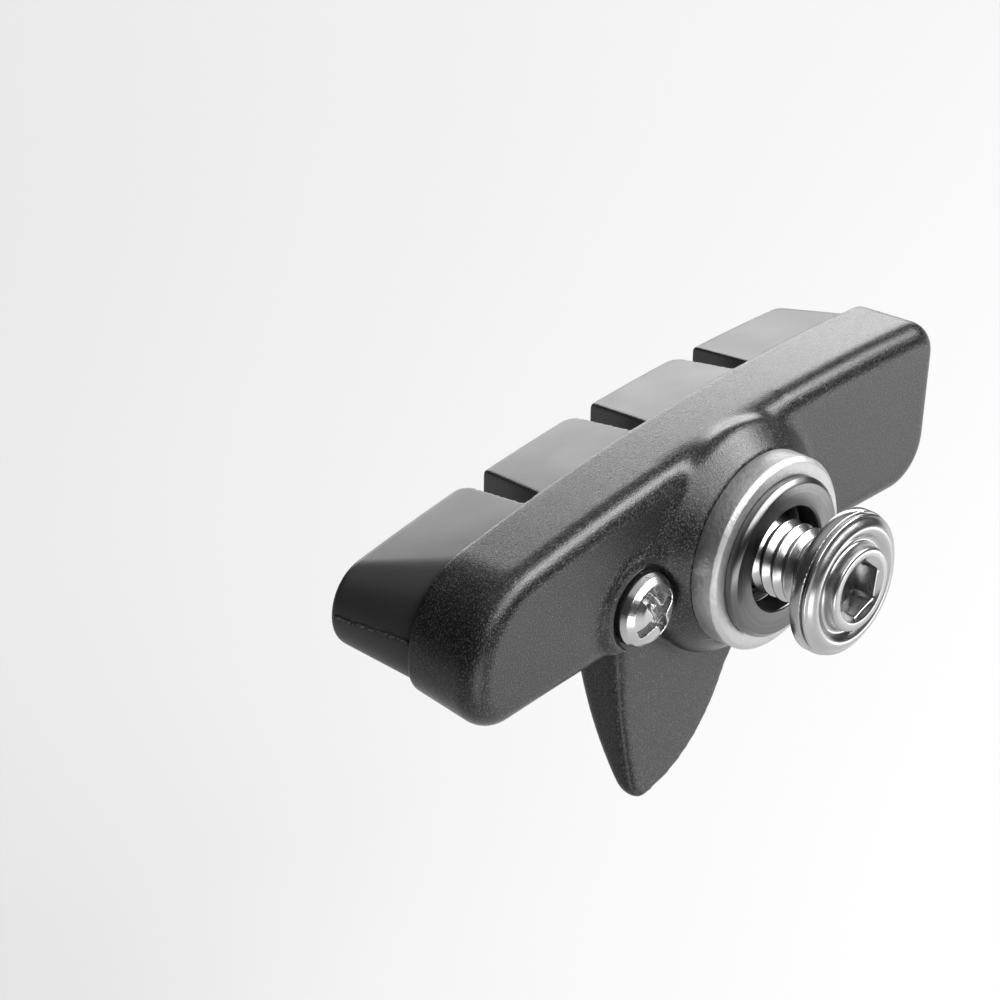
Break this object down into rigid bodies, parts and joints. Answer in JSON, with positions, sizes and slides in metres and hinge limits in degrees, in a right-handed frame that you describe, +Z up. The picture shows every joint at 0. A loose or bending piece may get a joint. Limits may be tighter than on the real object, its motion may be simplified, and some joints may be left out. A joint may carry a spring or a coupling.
{
  "type": "bicycle rim brake pad",
  "caption": "Road caliper brake shoe: a cast holder with a curved fin, a grooved rubber pad locked by a screw, and a clamp bolt with spherical washers.",
  "frame": {"origin": "On the clamp bolt's axis, at the convex washer's flat face, where the caliper arm sits.", "axes": "+Y along the bolt towards the rim (the friction face), +X along the shoe to the channel's open end, +Z up, away from the wheel's hub, with the fin pointing down."},
  "size_m": [0.0545, 0.0262, 0.0277],
  "materials": {
    "satin_black_paint": "satin",
    "brake_rubber": "matte",
    "bright_steel": "polished",
    "tumbled_steel": "satin",
    "turned_steel": "satin"
  },
  "bodies": {
    "root": {"shoe_holder": "satin_black_paint", "brake_pad": "brake_rubber", "pad_screw": "bright_steel", "concave_washer": "tumbled_steel", "convex_washer": "turned_steel", "clamp_bolt": "bright_steel", "bolt_washer": "bright_steel"}
  },
  "joints": []
}
